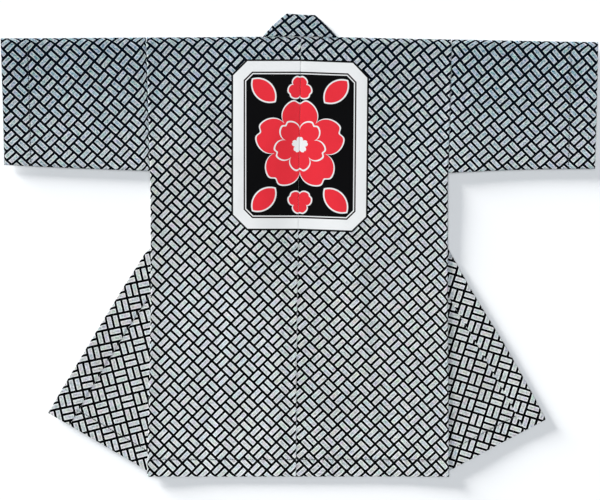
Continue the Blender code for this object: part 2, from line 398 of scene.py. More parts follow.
@dataclass(frozen=True)
class Lift:
    """How high the whole stack of layers stands off the table.

    Starched cotton springs a few millimetres at its free edges and touches the table inside.
    The swells are listed one by one, each in its own size: X and Y of its start, X and Y of its
    end, height, width.
    """

    least: float = 0.7
    edges: tuple[Values, ...] = (
        (-310, -494, 330, -492, 7.0, 128),
        (322, -420, 318, 120, 6.4, 126),
        (-614, 148, -330, 142, 7.2, 116),
        (325, 138, 614, 144, 7.2, 118),
        (618, 190, 618, 400, 5.2, 104),
        (-614, 180, -616, 410, 2.8, 80),
        (-522, -352, -340, -454, 6.8, 96),
        (516, -358, 344, -456, 7.4, 104),
        (505, -300, 380, -80, 7.4, 90),
        (-500, -310, -430, -190, 2.4, 66),
        (60, 478, 20, 482, 1.8, 56),
        (-316, -420, -314, 120, 2.8, 76),
    )
    creases: tuple[Values, ...] = (
        (-250, 330, -150, 180, 0.9, 26),
        (-60, 60, -90, -160, 0.7, 34),
        (120, -60, 90, -300, 0.8, 30),
        (220, 120, 180, -20, 0.6, 24),
        (-200, -60, -230, -260, 0.7, 28),
        (-460, 380, -420, 230, 0.9, 24),
        (-540, 300, -380, 290, 0.6, 22),
        (420, 370, 470, 220, 0.8, 26),
        (540, 330, 380, 300, 0.6, 20),
        (30, -330, 60, -430, 0.9, 20),
        (-150, -340, -170, -450, 0.8, 18),
        (230, -330, 215, -440, 0.7, 16),
        (-430, -290, -360, -360, 0.8, 20),
        (440, -300, 380, -370, 0.8, 18),
    )

    def at(self, x: Array, y: Array) -> Array:
        """The lift at world X and Y, in millimetres. Where edges meet, the higher one leads."""
        edges = sum(Swell(*row).at(x, y) ** 3 for row in self.edges) ** (1.0 / 3.0)
        return self.least + edges + sum(Swell(*row).at(x, y) for row in self.creases)


LIFT = Lift()
PRINT_CELL = 26.9


@dataclass(frozen=True)
class PrintFit:
    """Where the printed basket weave lies on one stretch of cloth.

    Each line of the fit gives a pattern coordinate in cells, as terms in the distance from
    (x, y), which is in units of 300 mm: 1, P, Q, then P2, PQ, Q2, P3, P2Q, PQ2, Q3 where the
    cloth was pulled out of true.
    """

    x: float
    y: float
    a: Values
    b: Values
    unit: float = 300.0

    def at(self, x: Array, y: Array) -> Array:
        """Pattern coordinates at world X and Y, in cells, on a last axis of two."""
        p, q = (x - self.x) / self.unit, (y - self.y) / self.unit
        terms = [np.ones_like(p), p, q, p * p, p * q, q * q, p**3, p * p * q, p * q * q, q**3]
        found = [sum(c * t for c, t in zip(line, terms)) for line in (self.a, self.b)]
        return np.stack(found, axis=-1)

    def on(self, side: Side, out: Array, y: Array) -> Array:
        """Pattern coordinates at points of the sewn shape."""
        return self.at(*LAY.place(side, out, y))

    def beyond(self, x: Array, y: Array, edge_y: Array) -> Array:
        """Pattern coordinates past the height edge_y, carried on straight from there."""
        inside = np.minimum(y, edge_y)
        past = (y - inside) / self.unit
        return self.at(x, inside) + past[..., None] * np.array([self.a[2], self.b[2]])


BACK_FITS = (
    PrintFit(
        -170, -80,
        (2.46, 7.62, 7.91, 0.09, -0.03, 0.02, 0.34, 0.1, -0.08, -0.02),
        (-1.95, 8.11, -8.06, -0.21, 0.04, 0.05, -0.04, -0.12, -0.02, 0.06),
    ),
    PrintFit(
        170, -80,
        (4.17, 8.1, 8.0, 0.54, 0.07, -0.03, 0.56, 0.11, -0.01, -0.06),
        (-2.34, 7.64, -7.99, -0.24, -0.01, 0.0, -0.39, -0.09, -0.09, 0.02),
    ),
)
SLEEVE_FITS = (
    PrintFit(
        -450, 300,
        (1.3, 7.3, 7.99, -0.41, -0.22, 0.02, 0.18, -0.01, 0.15, 0.34),
        (1.1, 8.12, -7.34, 0.76, 0.03, 0.53, 0.12, -0.42, -0.22, -0.57),
    ),
    PrintFit(
        460, 290,
        (0.55, 8.14, 7.35, -0.43, 0.08, -0.84, 0.38, 0.59, 0.05, -0.07),
        (0.55, 7.36, -8.1, 0.28, -0.14, 0.26, -0.03, -0.01, -0.17, -0.3),
    ),
)
OPENED_FITS = (
    PrintFit(-360, -310, (-0.4, -10.65, -2.92), (-0.01, -2.8, 10.87)),
    PrintFit(360, -310, (-0.14, 10.4, -3.42), (-2.29, -3.38, -10.84)),
)
COLLAR_FITS = (
    PrintFit(-400, -200, (-0.57, -11.11, -2.56), (0.14, -2.25, 10.62)),
    PrintFit(400, -220, (0.53, 10.17, -3.36), (-1.12, -3.3, -10.99)),
)
NAPE_FIT = PrintFit(0, 450, (1.64, 8.25, 7.91), (0.07, 7.51, -9.19))
FIT_PAST_SHOULDER = 8.0


def add_object(name: str, data) -> bpy.types.Object:
    """Makes an object of a mesh, lamp or camera, and puts it in the scene."""
    made = bpy.data.objects.new(name, data)
    bpy.context.scene.collection.objects.link(made)
    return made


class Cloth:
    """One sheet of cloth, gathered as patches of the surface that runs through its middle."""

    weld: float = 0.02
    sharp_from: float = 50.0

    def __init__(self, name: str, one_way: bool = False):
        """Starts an empty sheet.

        Args:
            name: name of the piece.
            one_way: whether all its patches already face the same way.
        """
        self.name = name
        self.one_way = one_way
        self.patches: list[tuple[Array, ...]] = []
        self.count = 0

    def patch(self, points: Array, prints: Array, face: Face = Face.PRINT) -> None:
        """Adds a grid of points.

        Args:
            points: rows of points, world millimetres, last axis x, y, z.
            prints: the pattern coordinates of the same points, in cells.
            face: the finish on the cloth's face.
        """
        rows, columns = points.shape[:2]
        number = np.arange(rows * columns).reshape(rows, columns) + self.count
        corners = [number[:-1, :-1], number[:-1, 1:], number[1:, 1:], number[1:, :-1]]
        quads = np.stack(corners, axis=-1).reshape(-1, 4)
        finish = np.full(len(quads), face.value)
        self.patches.append((points.reshape(-1, 3), quads, prints.reshape(-1, 2), finish))
        self.count += rows * columns

    def fold(self, side: Side, section: "Fold", steps: int, prints) -> None:
        """Adds a fold in two patches, from the upper layer to its edge and on to the lower.

        Args:
            side: the side of the coat.
            section: the fold.
            steps: how many points each patch has across the fold.
            prints: gives pattern coordinates at (out, y, whether past the edge).
        """
        for first, last, under in ((90, 0, False), (0, -90, True)):
            out, y, z = section.around(np.linspace(first, last, steps))
            self.patch(lie(side, out, y, z), prints(out, y, under))

    def make(self, materials: list[bpy.types.Material]) -> bpy.types.Object:
        """Joins the patches, gives them the cloth's thickness, and makes the object.

        Args:
            materials: finishes of the face, then those of the reverse in the same order.

        Returns:
            The finished piece.
        """
        points, faces, prints, finishes = (np.concatenate(part) for part in zip(*self.patches))
        mesh = bpy.data.meshes.new(self.name)
        mesh.from_pydata((points * MM).tolist(), [], faces.tolist())
        uv = prints[faces.ravel()] * PRINT_CELL * MM
        mesh.uv_layers.new(name="print").data.foreach_set("uv", uv.astype(np.float32).ravel())
        mesh.polygons.foreach_set("material_index", finishes)
        self.join(mesh)
        for material in materials:
            mesh.materials.append(material)
        made = add_object(self.name, mesh)
        thick = made.modifiers.new("wall", "SOLIDIFY")
        thick.thickness = COAT.wall * MM
        thick.offset = 0.0
        thick.material_offset = len(materials) // 2
        graph = bpy.context.evaluated_depsgraph_get()
        solid = bpy.data.meshes.new_from_object(made.evaluated_get(graph))
        made.modifiers.clear()
        made.data = solid
        bpy.data.meshes.remove(mesh)
        solid.name = self.name
        solid.shade_smooth()
        solid.set_sharp_from_angle(angle=math.radians(self.sharp_from))
        return made

    def join(self, mesh: bpy.types.Mesh) -> None:
        """Welds the patches' shared edges and turns every face outwards.

        Args:
            mesh: the mesh to change. The face of its highest flat part looks up.
        """
        shape = bmesh.new()
        shape.from_mesh(mesh)
        bmesh.ops.remove_doubles(shape, verts=shape.verts, dist=self.weld * MM)
        if not self.one_way:
            bmesh.ops.recalc_face_normals(shape, faces=shape.faces)

        def rank(face) -> tuple:
            """Puts the back before the rest, flat faces before steep ones, and high first."""
            return face.material_index, abs(face.normal.z) > 0.9, face.calc_center_median().z

        if max(shape.faces, key=rank).normal.z < 0.0:
            bmesh.ops.reverse_faces(shape, faces=shape.faces)
        shape.to_mesh(mesh)
        shape.free()


def lie(side: Side, out: Array, y: Array, z: Array) -> Array:
    """Lays points of the sewn shape on the table, with the cloth's own lift.

    Args:
        side: the side of the coat.
        out: distances from the centre line.
        y: heights on the plan.
        z: heights of the cloth's middle over the table, without lift.

    Returns:
        World points in millimetres, last axis x, y, z.
    """
    x, laid_y = LAY.place(side, out, y)
    return np.stack([x, laid_y, z + LIFT.at(x, laid_y)], axis=-1)


@dataclass
class Fold:
    """A fold in a layer of cloth, as sections round it.

    edge is where its outermost points are (distances out and heights, each (n, 1) or a number),
    outward the unit direction that it faces on the plan, upper and lower the layers' heights,
    bulge how far it rounds out, and slant how far a section moves along it as it goes round.
    """

    edge: tuple
    outward: Pair
    upper: Array
    lower: Array
    bulge: Array
    thickness: float = COAT.cloth
    slant: float = 0.0

    def around(self, turns: Array) -> tuple[Array, Array, Array]:
        """Finds the points of each section.

        Args:
            turns: angles, from 90 degrees at the upper layer to -90 at the lower.

        Returns:
            Distances out, heights on the plan and heights over the table.
        """
        cosine, sine = np.cos(np.radians(turns)), np.sin(np.radians(turns))
        back_by = self.thickness / 2 + self.bulge * (1.0 - cosine)
        shift = self.slant * (self.bulge + self.thickness / 2) * sine
        out = self.edge[0] - back_by * self.outward[0] + shift * self.outward[1]
        y = self.edge[1] - back_by * self.outward[1] - shift * self.outward[0]
        return out, y, self.lower + (self.upper - self.lower) / 2 * (1.0 + sine)


@dataclass
class ShoulderPiece:
    """What body lengths and sleeves share: both are rolled over the shoulder line.

    A swell or a dip is sized by its height and its width, in millimetres.
    """

    side: Side
    finishes: list
    step: float = 6.0
    roll: float = 9.0
    roll_radius: float = 18.0
    edge_radius: float = 5.0
    shoulder_swell: Pair = (1.5, 22.0)
    beside_stitch: Values = (-4.0, -2.4, -1.2, 0.0, 1.2, 2.4, 4.0)
    shoulder_steps: int = 8

    def over_shoulder(self, y: Array, under: bool) -> Array:
        """How far up the cloth a point is, measured over the roll, and past it if under."""
        top, radius = COAT.shoulder_y, self.roll_radius
        risen = y + over_edge(top - y, radius)
        return 2 * (top + over_edge(0.0, radius)) - risen if under else risen

    def carried(self, fit: PrintFit, out: Array, y: Array, hidden: Array, risen: Array) -> Array:
        """Reads a fit for cloth that is rolled at its edges.

        Args:
            fit: the fit of this piece's print.
            out: distances from the centre line.
            y: heights on the plan.
            hidden: how much further out along the cloth the points are.
            risen: how far up along the cloth they are.

        Returns:
            Pattern coordinates in cells.
        """
        x, laid_y = LAY.place(self.side, out, y)
        _, top = LAY.place(self.side, out, np.full_like(y, COAT.shoulder_y))
        x = x + self.side.value * hidden
        return fit.beyond(x, laid_y + risen - y, top + FIT_PAST_SHOULDER)


@dataclass
class BodyLength(ShoulderPiece):
    """One length of cloth: half of the back, over the shoulder, and one front, turned back."""

    seam_radius: float = 8.0
    middle_radii: Pair = (3.0, 1.0)
    middle_swell: Pair = (0.8, 4.5)
    middle_dip: Pair = (0.15, 1.2)
    side_swell: Pair = (1.3, 13.0)
    arm_swell: Pair = (1.1, 11.0)
    arm_dip: Pair = (1.1, 1.2)
    stitch_dip: Pair = (0.5, 2.3)
    stitch_waves: Triple = (5.3, 31.0, 1.7)
    ease_over: float = 60.0
    roll_eases: Pair = (50.0, 70.0)
    stands_by_neck: float = 0.3
    opened_dip: float = 0.5
    print_turns_from: float = -100.0
    print_meets_at: float = 0.6
    arm_steps: int = 4
    side_steps: int = 4
    crease_steps: int = 7
    opened_columns: int = 36

    def __post_init__(self) -> None:
        """Works out the rows and columns that the patches share."""
        c = COAT
        self.depth = c.fold_depth(c.cloth)
        self.inner = c.neck_half + c.gap / 2 + c.neck_ease
        self.side_start = c.side_out - self.depth
        opening_y = c.crease_y(c.neck_half + 2 * self.depth)
        near = [c.hem_y + c.hem_turning + d for d in self.beside_stitch]
        neck_rows = graded(c.neck_y, opening_y, self.step, (True, False))
        arm_rows = graded(opening_y, c.underarm_y, self.step, (False, False))
        side_rows = graded(c.underarm_y, c.hem_y, self.step, (False, True), near)
        self.rows = np.concatenate([neck_rows, arm_rows[1:], side_rows[1:]])
        self.opening = len(neck_rows) - 1
        self.underarm = self.opening + len(arm_rows) - 1
        self.neck_columns = graded(c.gap / 2, self.inner, self.step, (True, False))
        self.shoulder_columns = graded(self.inner, self.side_start, self.step, (False, True))

    def bulge(self, out: Array) -> Array:
        """How far the shoulder's fold rounds out: tight by the neck, full beside it."""
        share = smooth((out - self.inner) / self.roll_eases[0])
        return COAT.bulge + (self.roll - COAT.bulge) * share

    def rolled_rows(self, out: Array) -> Array:
        """Heights of the rows in each column, moved down where the shoulder's roll is full."""
        rows = self.rows[:, None]
        share = 1.0 - smooth((COAT.neck_y - rows) / self.roll_eases[1])
        return rows - (self.bulge(out) - COAT.bulge) * share

    def back_print(self, out: Array, y: Array, under: bool = False) -> Array:
        """Pattern coordinates on the back, and past the shoulder."""
        risen = self.over_shoulder(y, under)
        if not under:
            risen = risen - over_edge(y - COAT.hem_y, self.edge_radius)
        at_side = over_edge(COAT.side_out - out, self.seam_radius) * (y < COAT.underarm_y)
        hidden = at_side - over_edge(out, self.side.of(self.middle_radii))
        return self.carried(self.side.of(BACK_FITS), out, y, hidden, risen)

    def opened_print(self, out: Array, y: Array) -> Array:
        """The opened part's pattern carried on over the front, turned to the back's way."""
        own = self.side.of(OPENED_FITS).on(self.side, *COAT.turned_back(out, y))
        if self.side is Side.RIGHT:
            own = np.stack([own[..., 1], -own[..., 0]], axis=-1)
        return own

    def front_print(self, out: Array, y: Array) -> Array:
        """Pattern coordinates on the front, as if it were still all turned back.

        Towards the shoulder they ease over to the back's, so that the cloth is in one piece.
        """
        edge = COAT.shoulder_y - self.roll_radius
        middle = np.array([COAT.side_out * self.print_meets_at])
        step = self.back_print(middle, edge, True) - self.opened_print(middle, edge)
        step = np.round(step)[0]
        step[1] += (step[0] + step[1]) % 2
        apart = self.back_print(out, edge, True) - self.opened_print(out, edge) - step
        share = smooth((y - self.print_turns_from) / (edge - self.print_turns_from))
        return self.opened_print(out, y) + step + share[..., None] * apart

    def either_print(self, out: Array, y: Array, under: bool) -> Array:
        """Pattern coordinates on the back, or on the front under it."""
        return self.front_print(out, y) if under else self.back_print(out, y)

    def back_height(self, out: Array, y: Array) -> Array:
        """Height of the back's middle, with its seams and its hem's stitching drawn down."""
        c, ease = COAT, self.ease_over
        to_side, to_middle = c.side_out - out, out - c.gap / 2
        below = smooth((c.underarm_y - y) / ease)
        least = self.stands_by_neck
        stands = (least + (1.0 - least) * smooth(-y / ease)) * (self.side is Side.LEFT)
        z = LAYERS.back(out, y) + c.cloth / 2
        z = z + ridge(c.shoulder_y - y, self.shoulder_swell) * smooth((out - self.inner) / ease)
        z = z + ridge(to_side, self.side_swell) * below
        z = z + ridge(to_side, self.arm_swell) * (1.0 - below)
        z = z - ridge(to_side, self.arm_dip) * (y > c.underarm_y)
        z = z + ridge(to_middle, self.middle_swell) * stands - ridge(to_middle, self.middle_dip)
        return z - self.hem_dip(out, y)

    def hem_dip(self, out: Array, y: Array) -> Array:
        """How deep the hem's stitching draws the cloth in, unevenly along it."""
        dip = ridge(y - COAT.hem_y - COAT.hem_turning, self.stitch_dip)
        return dip * uneven_pull(out, self.stitch_waves)

    def front_height(self, out: Array, y: Array) -> Array:
        """Height of the front's middle."""
        return LAYERS.front(out, y) + COAT.cloth / 2

    def opened_height(self, out: Array, y: Array) -> Array:
        """Height of the opened part's middle, whose hem draws in less."""
        return COAT.cloth / 2 - self.opened_dip * self.hem_dip(out, y)

    def back_hem(self, out: Array) -> tuple[Array, ...]:
        """Places along the back's row of stitches: out, on the plan and over the table."""
        y = np.full_like(out, COAT.hem_y + COAT.hem_turning)
        return out, y, self.back_height(out, y)

    def opened_hem(self, out: Array) -> tuple[Array, ...]:
        """Places along the opened part's row of stitches."""
        y = np.full_like(out, COAT.hem_y + COAT.hem_turning)
        return *COAT.turned_back(out, y), self.opened_height(out, y)

    def front_columns(self, y: Array) -> Array:
        """Distances out of the front's columns at each height, (rows, columns)."""
        c = COAT
        beside = c.crease_out(y) + self.depth / math.cos(c.half_opened)
        ease = c.neck_ease * np.maximum(0.0, 1.0 - (c.neck_y - y) / c.collar_width)
        inner = np.maximum(c.neck_half + c.gap / 2 + ease, beside)[:, None]
        share = (self.shoulder_columns - self.inner) / (self.side_start - self.inner)
        return inner + share * (self.side_start - inner)

    def build(self) -> bpy.types.Object:
        """Builds the piece, and hands it to the frame."""
        c, cloth = COAT, Cloth("body_length_" + self.side.word)
        for columns in (self.neck_columns, self.shoulder_columns):
            self.add_back(cloth, columns, self.rolled_rows(columns))
        out, y = self.front_columns(self.rows), self.rolled_rows(self.shoulder_columns)
        self.add_front(cloth, out, y)
        self.add_folds(cloth)
        strip = np.linspace(self.side_start, c.side_out, self.arm_steps)
        y = self.rolled_rows(self.side_start)[: self.underarm + 1]
        self.add_back(cloth, strip, y)
        self.add_front(cloth, strip, y)
        self.add_opened(cloth)
        made = cloth.make(self.finishes)
        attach(made, "root")
        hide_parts("body_" + self.side.word)
        return made

    def add_back(self, cloth: Cloth, out: Array, y: Array) -> None:
        """Adds a patch of the back."""
        points = lie(self.side, out, y, self.back_height(out, y))
        cloth.patch(points, self.back_print(out, y), Face.BACK_PRINT)

    def add_front(self, cloth: Cloth, out: Array, y: Array) -> None:
        """Adds a patch of the front."""
        points = lie(self.side, out, y, self.front_height(out, y))
        cloth.patch(points, self.front_print(out, y))

    def add_folds(self, cloth: Cloth) -> None:
        """Adds the cloth's turn over the shoulder, and the side seam's from underarm to hem."""
        out, y = self.shoulder_columns[:, None], self.rolled_rows(self.shoulder_columns)[0][:, None]
        layers = self.back_height(out, y), self.front_height(out, y)
        edge = (out, np.full_like(out, COAT.shoulder_y))
        turn = Fold(edge, (0.0, 1.0), *layers, self.bulge(out))
        cloth.fold(self.side, turn, self.shoulder_steps, self.back_print)
        y = self.rows[self.underarm :, None]
        out = np.full_like(y, self.side_start)
        layers = self.back_height(out, y), self.front_height(out, y)
        turn = Fold((np.full_like(y, COAT.side_out), y), (1.0, 0.0), *layers, COAT.bulge)
        cloth.fold(self.side, turn, self.side_steps, self.either_print)

    def add_opened(self, cloth: Cloth) -> None:
        """Adds the crease and the front's inner part, turned back and lying on the table."""
        c, fit, y = COAT, self.side.of(OPENED_FITS), self.rows[self.opening :, None]
        crease = c.crease_out(y)
        start = crease - self.depth / math.cos(c.half_opened)
        share = np.linspace(0.0, 1.0, self.opened_columns)
        out = start + share * (c.neck_half + c.gap / 2 - start)
        turned = c.turned_back(out, y)
        points = lie(self.side, *turned, self.opened_height(out, y))
        cloth.patch(points, fit.on(self.side, *turned))
        upper = self.front_height(self.front_columns(y[:, 0])[:, :1], y)
        turn = Fold((crease, y), c.to_centre, upper, c.cloth / 2, c.bulge, slant=-c.lean)
        out, y, z = turn.around(np.linspace(90, -90, self.crease_steps))
        cloth.patch(lie(self.side, out, y, z), fit.on(self.side, *c.turned_back(crease, y)))


@dataclass
class Sleeve(ShoulderPiece):
    """A flattened tube, folded along the shoulder line and closed along its lower edge."""

    arm_radii: Pair = (13.0, 3.0)
    sags: Pair = (-0.8, 2.2)
    puff: Pair = (0.9, 7.0)
    bottom_swell: Pair = (0.6, 16.0)
    arm_dip: Pair = (0.4, 1.5)
    stitch_dip: Pair = (0.5, 2.4)
    stitch_waves: Triple = (4.9, 27.0, 1.5)
    rows: int = 44
    bottom_steps: int = 5

    def bottom(self, out: Array) -> Array:
        """Height of the sleeve's lower edge."""
        along = (out - COAT.side_out) / (COAT.cuff_out - COAT.side_out)
        sag = self.side.of(self.sags) * np.sin(math.pi * along)
        return COAT.underarm_y + (COAT.armhole_depth - COAT.cuff_depth) * along + sag

    def prints(self, out: Array, y: Array, under: bool = False) -> Array:
        """Pattern coordinates on the upper layer, or on the lower one past the shoulder."""
        rolled = over_edge(y - self.bottom(out), self.edge_radius)
        risen = self.over_shoulder(y, under) + (rolled if under else -rolled)
        hidden = over_edge(COAT.cuff_out - out, self.edge_radius)
        hidden = hidden - over_edge(out - COAT.side_out, self.side.of(self.arm_radii))
        return self.carried(self.side.of(SLEEVE_FITS), out, y, hidden, risen)

    def heights(self, out: Array, y: Array) -> tuple[Array, Array]:
        """Heights of the upper and the lower layer's middle."""
        c, beside_arm = COAT, out - COAT.side_out
        lower = LAYERS.front(out, y) + c.cloth / 2
        upper = lower + c.cloth + c.gap + ridge(c.shoulder_y - y, self.shoulder_swell)
        upper = upper + ridge(y - self.bottom(out), self.bottom_swell)
        upper = upper + self.puff[0] - ridge(beside_arm, self.puff)
        upper = upper - ridge(beside_arm, self.arm_dip)
        dip = ridge(out - c.cuff_out + c.cuff_turning, self.stitch_dip)
        return upper - dip * uneven_pull(y, self.stitch_waves), lower

    def cuff_hem(self, y: Array) -> tuple[Array, ...]:
        """Places along the cuff's row of stitches: out, on the plan and over the table."""
        out = np.full_like(y, COAT.cuff_out - COAT.cuff_turning)
        return out, y, self.heights(out, y)[0]

    def build(self) -> bpy.types.Object:
        """Builds the piece, and hands it to the frame."""
        c, cloth = COAT, Cloth("sleeve_tube_" + self.side.word)
        near = [c.cuff_out - c.cuff_turning + d for d in self.beside_stitch]
        out = graded(c.side_out + c.gap, c.cuff_out, self.step, (True, True), near)
        top = c.shoulder_y - self.roll - c.cloth / 2
        low = self.bottom(out) + c.fold_depth(c.cloth)
        y = top + np.linspace(0.0, 1.0, self.rows)[:, None] * (low - top)
        upper, lower = self.heights(out, y)
        cloth.patch(lie(self.side, out, y, upper), self.prints(out, y), Face.BACK_PRINT)
        cloth.patch(lie(self.side, out, y, lower), self.prints(out, y, True))
        out = out[:, None]
        edge = (out, np.full_like(out, c.shoulder_y))
        turn = Fold(edge, (0.0, 1.0), upper[:1].T, lower[:1].T, self.roll)
        cloth.fold(self.side, turn, self.shoulder_steps, self.prints)
        edge = (out, self.bottom(out))
        turn = Fold(edge, (0.0, -1.0), upper[-1:].T, lower[-1:].T, c.bulge)
        cloth.fold(self.side, turn, self.bottom_steps, self.prints)
        made = cloth.make(self.finishes)
        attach(made, "root")
        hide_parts("sleeve_" + self.side.word)
        return made


@dataclass
class CollarBand:
    """One band of cloth, doubled: along both opened fronts, and round the neck."""

    finishes: list
    half: float = 0.42
    step: float = 6.0
    section_step: float = 5.0
    edge_turn: float = 75.0
    edge_steps: int = 6
    nominal: float = 900.0
    crease_steps: int = 9
    span_steps: int = 7
    corner_steps: int = 11
    nape_steps: int = 14
    edge_radius: float = 3.5
    seam_dip: Pair = (0.5, 1.5)

    def section(self) -> tuple[Array, Array]:
        """The doubled band's section: distances in from the free edge, and sides of its middle."""
        width, step = COAT.collar_width - COAT.gap / 2, self.section_step
        flat = graded(width, 1.0, step, (True, False))
        turn = np.radians(np.linspace(self.edge_turn, -self.edge_turn, self.edge_steps))
        inward = np.concatenate([flat, 1.0 - np.cos(turn), flat[::-1]])
        height = np.concatenate([np.ones_like(flat), np.sin(turn), -np.ones_like(flat)])
        return inward, height

    def build(self) -> bpy.types.Object:
        """Builds the piece, and hands it to the frame."""
        cloth = Cloth("collar_band", one_way=True)
        for side, order in ((Side.LEFT, -1), (Side.RIGHT, 1)):
            lines = [self.line(side, i, h) for i, h in zip(*self.section())]
            points, prints = (np.stack(part)[::order] for part in zip(*lines))
            cloth.patch(points, prints)
        made = cloth.make(self.finishes)
        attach(made, "root")
        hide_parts("collar")
        return made

    def line(self, side: Side, inward: float, height: float) -> tuple[Array, Array]:
        """One lengthwise line of the band, from its hem end to the middle of the neck.

        Args:
            side: the side of the coat.
            inward: the line's distance from the band's free edge.
            height: which layer of the doubled band, 1 for the face that shows on the front.

        Returns:
            World points and their pattern coordinates.
        """
        c, fit = COAT, side.of(COLLAR_FITS)
        out, depth = c.free_out + inward, c.fold_depth(c.band)
        first, second, third = (c.band / 2 + c.level * layer for layer in range(3))
        fold_y, corner_y = c.crease_y(out), c.collar_top_y - inward
        beside_crease, beside_corner = depth / math.sin(c.half_opened), depth * math.sqrt(2.0)
        raised = self.half * height
        dip = ridge(c.collar_width - inward, self.seam_dip)
        hidden = over_edge(inward, self.edge_radius)
        low = graded(0.0, self.nominal, self.step, (True, False)) / self.nominal
        low = c.hem_y + low * (fold_y - beside_crease - c.hem_y)
        opened = (*c.turned_back(out, low), first + raised - dip)
        layers, bulge = (second - raised, first + raised), c.bulge - raised
        crease = Fold((out, fold_y), c.to_centre, *layers, bulge, c.band, 1.0 / c.lean)
        crease = crease.around(np.linspace(-90, 90, self.crease_steps))
        ends = (fold_y + beside_crease, corner_y - beside_corner)
        span = np.linspace(*ends, self.span_steps)
        layers, bulge = (third + raised, second - raised), c.bulge + raised
        way = (math.sqrt(0.5), math.sqrt(0.5))
        corner = Fold((out, corner_y), way, *layers, bulge, c.band, -1.0)
        corner = corner.around(np.linspace(-90, 90, self.corner_steps))
        nape = np.linspace(out - beside_corner, 0.0, self.nape_steps)
        parts = (
            (opened, fit, c.turned_back(out - hidden, low)),
            (crease, fit, c.turned_back(out - hidden, crease[1])),
            ((out, span, second - raised), fit, c.turned_back(out, span)),
            (corner, NAPE_FIT, (corner[0], corner[1] + hidden)),
            ((nape, corner_y, third + raised - dip), NAPE_FIT, (nape, corner_y + hidden)),
        )
        points = np.concatenate([lie(side, *spot) for spot, _, _ in parts])
        self.length = 2 * float(np.linalg.norm(np.diff(points, axis=0), axis=1).sum())
        return points, np.concatenate([own.on(side, *printed) for _, own, printed in parts])


@dataclass
class HemStitching:
    """The running stitches that hold the turned hems, half sunk in the cloth.

    A stitch is 0.6 mm thick; it is drawn thicker, so that it doesn't break up at this size. Its
    stations are shares of its length, with the thread's size there.
    """

    bodies: list[BodyLength]
    sleeves: list[Sleeve]
    finish: bpy.types.Material
    length: float = 3.7
    pitch: float = 4.5
    radius: float = 0.95
    stations: tuple[Pair, ...] = ((0.0, 0.35), (0.14, 0.8), (0.5, 1.0), (0.86, 0.8), (1.0, 0.35))
    sunk: float = 0.9
    sides: int = 6
    uneven: Pair = (0.35, 2.3)
    clear: float = 3.0
    clear_of_side: float = 2.0
    clear_of_crease: float = 4.0
    clear_of_shoulder: float = 1.0

    def row(self, side: Side, place, first: float, last: float) -> Array:
        """Finds where the stitches of one hem start and end.

        Args:
            side: the side of the coat.
            place: gives distance out, height on the plan and height over the table along the hem.
            first: where the row starts, in millimetres along the hem.
            last: where it ends.

        Returns:
            World points of the cloth's face, (stitches, 2, 3).
        """
        k = np.arange(int((last - first - self.length) / self.pitch) + 1)
        start = first + k * self.pitch + self.uneven[0] * np.sin(self.uneven[1] * k)
        ends = []
        for at in (start, start + self.length):
            out, y, z = place(at)
            ends.append(lie(side, out, y, z + COAT.wall / 2))
        return np.stack(ends, axis=1)

    def threads(self, ends: Array) -> tuple[Array, list]:
        """Makes every stitch.

        Args:
            ends: where each comes out of the cloth and goes back in, (stitches, 2, 3).

        Returns:
            Their points, and their faces as numbers of those points.
        """
        way, up = ends[:, 1] - ends[:, 0], np.array([0.0, 0.0, 1.0])
        unit = way / np.linalg.norm(way, axis=1, keepdims=True)
        beside = np.stack([-unit[:, 1], unit[:, 0], np.zeros(len(unit))], axis=1)
        share, size = np.array(self.stations).T[:, :, None]
        turn = np.linspace(0.0, 2 * math.pi, self.sides, endpoint=False)[:, None]
        ring = np.cos(turn) * beside[:, None, None] + np.sin(turn) * up
        middle = ends[:, :1] + share * way[:, None] + up * self.radius * (size - self.sunk)
        points = middle[:, :, None] + self.radius * size[:, None] * ring
        count, last = len(self.stations) * self.sides, (len(self.stations) - 1) * self.sides
        faces = [tuple(range(self.sides))[::-1], tuple(range(last, count))]
        for near in range(0, last, self.sides):
            for k in range(self.sides):
                at = (near + k, near + (k + 1) % self.sides)
                faces.append((*at, at[1] + self.sides, at[0] + self.sides))
        all_faces = [tuple(i + n * count for i in f) for n in range(len(ends)) for f in faces]
        return points.reshape(-1, 3), all_faces

    def build(self) -> bpy.types.Object:
        """Builds all the stitches as one piece, and hands it to the frame."""
        c, rows = COAT, []
        for body in self.bodies:
            last = c.side_out - self.clear_of_side
            rows.append(self.row(body.side, body.back_hem, self.clear, last))
            last = float(c.crease_out(c.hem_y + c.hem_turning)) - self.clear_of_crease
            rows.append(self.row(body.side, body.opened_hem, c.neck_half + self.clear, last))
        for sleeve in self.sleeves:
            first = float(sleeve.bottom(c.cuff_out - c.cuff_turning)) + self.clear
            last = c.shoulder_y - sleeve.roll - self.clear_of_shoulder
            rows.append(self.row(sleeve.side, sleeve.cuff_hem, first, last))
        points, faces = self.threads(np.concatenate(rows))
        mesh = bpy.data.meshes.new("hem_stitches")
        mesh.from_pydata((points * MM).tolist(), [], faces)
        mesh.materials.append(self.finish)
        mesh.shade_smooth()
        made = add_object("hem_stitches", mesh)
        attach(made, "root")
        return made


def feed(node: bpy.types.Node, inputs: dict) -> None:
    """Feeds a node's inputs, each with a field or a socket to link, a hex colour or a value."""
    for name, value in inputs.items():
        value = value.socket if isinstance(value, Field) else value
        if isinstance(value, bpy.types.NodeSocket):
            node.id_data.links.new(value, node.inputs[name])
        else:
            value = hex_to_linear(value) if isinstance(value, str) else value
            node.inputs[name].default_value = value


